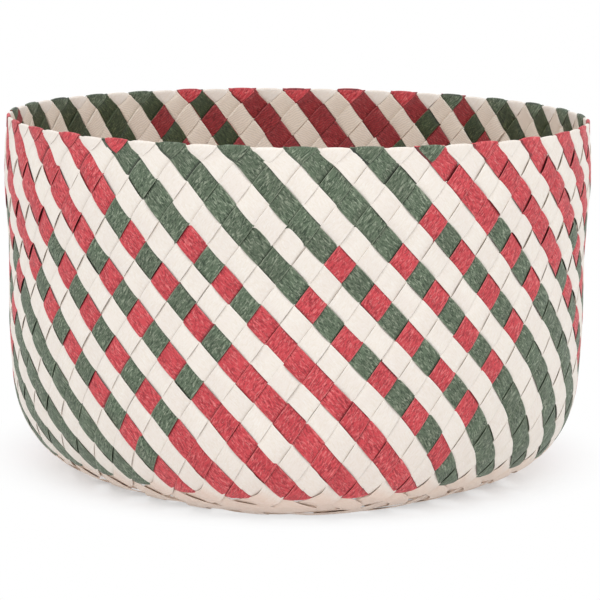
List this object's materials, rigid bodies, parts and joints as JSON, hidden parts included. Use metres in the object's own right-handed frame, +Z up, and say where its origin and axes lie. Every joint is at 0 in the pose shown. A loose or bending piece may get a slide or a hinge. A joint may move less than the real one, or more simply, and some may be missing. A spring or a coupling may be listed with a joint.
{
  "type": "round basket",
  "caption": "Open round basket with a straight wall plaited on the bias from flat straps, a folded rim and an open plaited base.",
  "frame": {"origin": "centre of the bounding box at its bottom, on the surface that the base stands on", "axes": "+Z up to the open rim, -Y towards the side that the picture shows, +X to its right"},
  "size_m": [0.3032, 0.3032, 0.191],
  "materials": {
    "cream_strap": "pale cream strap, nearly smooth with a faint satin sheen and faint lengthwise ribs",
    "red_strap": "coral red strap with fine lengthwise striations and paler streaks, satin",
    "green_strap": "grey green strap with fine lengthwise striations and paler streaks, satin"
  },
  "bodies": {
    "root": {"cream_lengthwise_01": "cream_strap", "cream_lengthwise_02": "cream_strap", "cream_lengthwise_03": "cream_strap", "cream_lengthwise_04": "cream_strap", "cream_lengthwise_05": "cream_strap", "cream_lengthwise_06": "cream_strap", "cream_lengthwise_07": "cream_strap", "cream_lengthwise_08": "cream_strap", "cream_lengthwise_09": "cream_strap", "cream_lengthwise_10": "cream_strap", "cream_lengthwise_11": "cream_strap", "cream_lengthwise_12": "cream_strap", "cream_lengthwise_13": "cream_strap", "cream_lengthwise_14": "cream_strap", "cream_lengthwise_15": "cream_strap", "cream_crosswise_01": "cream_strap", "cream_crosswise_02": "cream_strap", "cream_crosswise_03": "cream_strap", "cream_crosswise_04": "cream_strap", "cream_crosswise_05": "cream_strap", "cream_crosswise_06": "cream_strap", "cream_crosswise_07": "cream_strap", "cream_crosswise_08": "cream_strap", "cream_crosswise_09": "cream_strap", "cream_crosswise_10": "cream_strap", "cream_crosswise_11": "cream_strap", "cream_crosswise_12": "cream_strap", "cream_crosswise_13": "cream_strap", "cream_crosswise_14": "cream_strap", "cream_crosswise_15": "cream_strap", "red_strap_01": "red_strap", "red_strap_02": "red_strap", "red_strap_03": "red_strap", "red_strap_04": "red_strap", "red_strap_05": "red_strap", "red_strap_06": "red_strap", "red_strap_07": "red_strap", "red_strap_08": "red_strap", "red_strap_09": "red_strap", "red_strap_10": "red_strap", "red_strap_11": "red_strap", "red_strap_12": "red_strap", "red_strap_13": "red_strap", "red_strap_14": "red_strap", "red_strap_15": "red_strap", "green_strap_01": "green_strap", "green_strap_02": "green_strap", "green_strap_03": "green_strap", "green_strap_04": "green_strap", "green_strap_05": "green_strap", "green_strap_06": "green_strap", "green_strap_07": "green_strap", "green_strap_08": "green_strap", "green_strap_09": "green_strap", "green_strap_10": "green_strap", "green_strap_11": "green_strap", "green_strap_12": "green_strap", "green_strap_13": "green_strap", "green_strap_14": "green_strap", "green_strap_15": "green_strap"}
  },
  "joints": []
}
